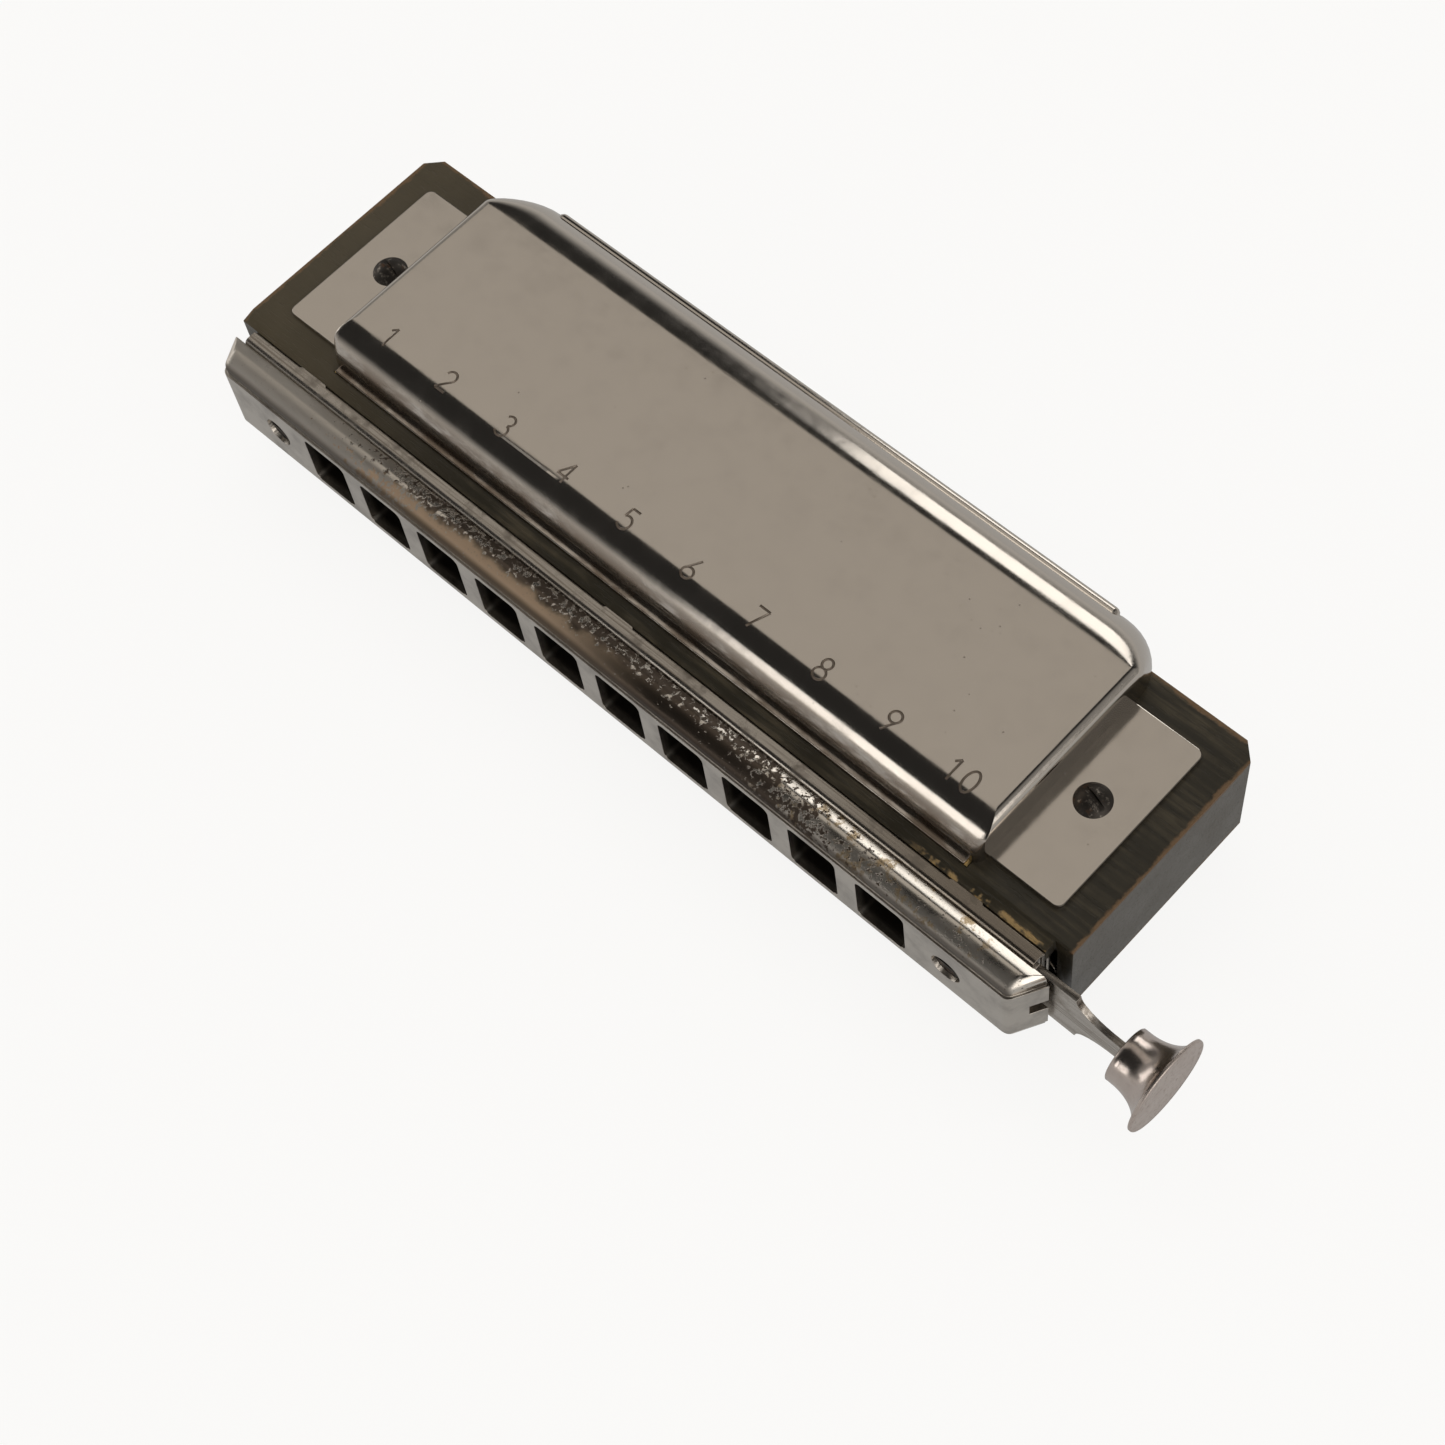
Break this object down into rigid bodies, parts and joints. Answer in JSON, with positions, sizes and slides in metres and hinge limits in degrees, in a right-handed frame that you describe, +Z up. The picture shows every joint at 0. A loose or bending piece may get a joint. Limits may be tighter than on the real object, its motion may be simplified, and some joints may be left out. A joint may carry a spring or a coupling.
{
  "type": "slide harmonica",
  "caption": "Slide harmonica: wooden comb between brass reed plates, nickel covers screwed on above and below, a mouthpiece with round-cornered holes and a sprung slide with a push button.",
  "frame": {"origin": "middle of the flat face of the lower cover, which the instrument rests on", "axes": "+X from the low notes to the button, -Y towards the player, +Z up through the covers"},
  "size_m": [0.1375, 0.0408, 0.025],
  "materials": {
    "comb_wood": "dark lacquered hardwood, worn to brown along the edges",
    "reed_brass": "rolled brass sheet",
    "nail_steel": "bright wire nails",
    "cover_nickel": "polished warm nickel plate with fine scuffs",
    "mouthpiece_nickel": "worn and pitted nickel plate with brass showing through",
    "button_nickel": "satin nickel plate, rubbed by the thumb",
    "slide_steel": "thin plated sheet and spring wire",
    "dark_screws": "blackened slotted wood screws"
  },
  "bodies": {
    "harmonica": {"comb": "comb_wood", "upper_reed_plate": "reed_brass", "lower_reed_plate": "reed_brass", "upper_blow_reed_1": "reed_brass", "upper_blow_reed_2": "reed_brass", "upper_blow_reed_3": "reed_brass", "upper_blow_reed_4": "reed_brass", "upper_blow_reed_5": "reed_brass", "upper_blow_reed_6": "reed_brass", "upper_blow_reed_7": "reed_brass", "upper_blow_reed_8": "reed_brass", "upper_blow_reed_9": "reed_brass", "upper_blow_reed_10": "reed_brass", "upper_draw_reed_1": "reed_brass", "upper_draw_reed_2": "reed_brass", "upper_draw_reed_3": "reed_brass", "upper_draw_reed_4": "reed_brass", "upper_draw_reed_5": "reed_brass", "upper_draw_reed_6": "reed_brass", "upper_draw_reed_7": "reed_brass", "upper_draw_reed_8": "reed_brass", "upper_draw_reed_9": "reed_brass", "upper_draw_reed_10": "reed_brass", "lower_blow_reed_1": "reed_brass", "lower_blow_reed_2": "reed_brass", "lower_blow_reed_3": "reed_brass", "lower_blow_reed_4": "reed_brass", "lower_blow_reed_5": "reed_brass", "lower_blow_reed_6": "reed_brass", "lower_blow_reed_7": "reed_brass", "lower_blow_reed_8": "reed_brass", "lower_blow_reed_9": "reed_brass", "lower_blow_reed_10": "reed_brass", "lower_draw_reed_1": "reed_brass", "lower_draw_reed_2": "reed_brass", "lower_draw_reed_3": "reed_brass", "lower_draw_reed_4": "reed_brass", "lower_draw_reed_5": "reed_brass", "lower_draw_reed_6": "reed_brass", "lower_draw_reed_7": "reed_brass", "lower_draw_reed_8": "reed_brass", "lower_draw_reed_9": "reed_brass", "lower_draw_reed_10": "reed_brass", "upper_reed_rivets": "reed_brass", "lower_reed_rivets": "reed_brass", "upper_plate_nails": "nail_steel", "lower_plate_nails": "nail_steel", "upper_cover": "cover_nickel", "lower_cover": "cover_nickel", "upper_cover_screws": "dark_screws", "lower_cover_screws": "dark_screws", "mouthpiece": "mouthpiece_nickel", "mouthpiece_screws": "dark_screws", "slide_cage": "slide_steel", "backing_plate": "slide_steel", "slide_spring": "slide_steel"},
    "slide": {"slide": "slide_steel", "slide_button": "button_nickel"}
  },
  "joints": [
    {"name": "slide_push", "type": "slide", "parent": "harmonica", "child": "slide", "axis": [-1, 0, 0], "range_m": [0, 0.0047], "stiffness_N_per_m": 400, "springref_m": -0.0025, "deforming": ["slide_spring"]}
  ]
}
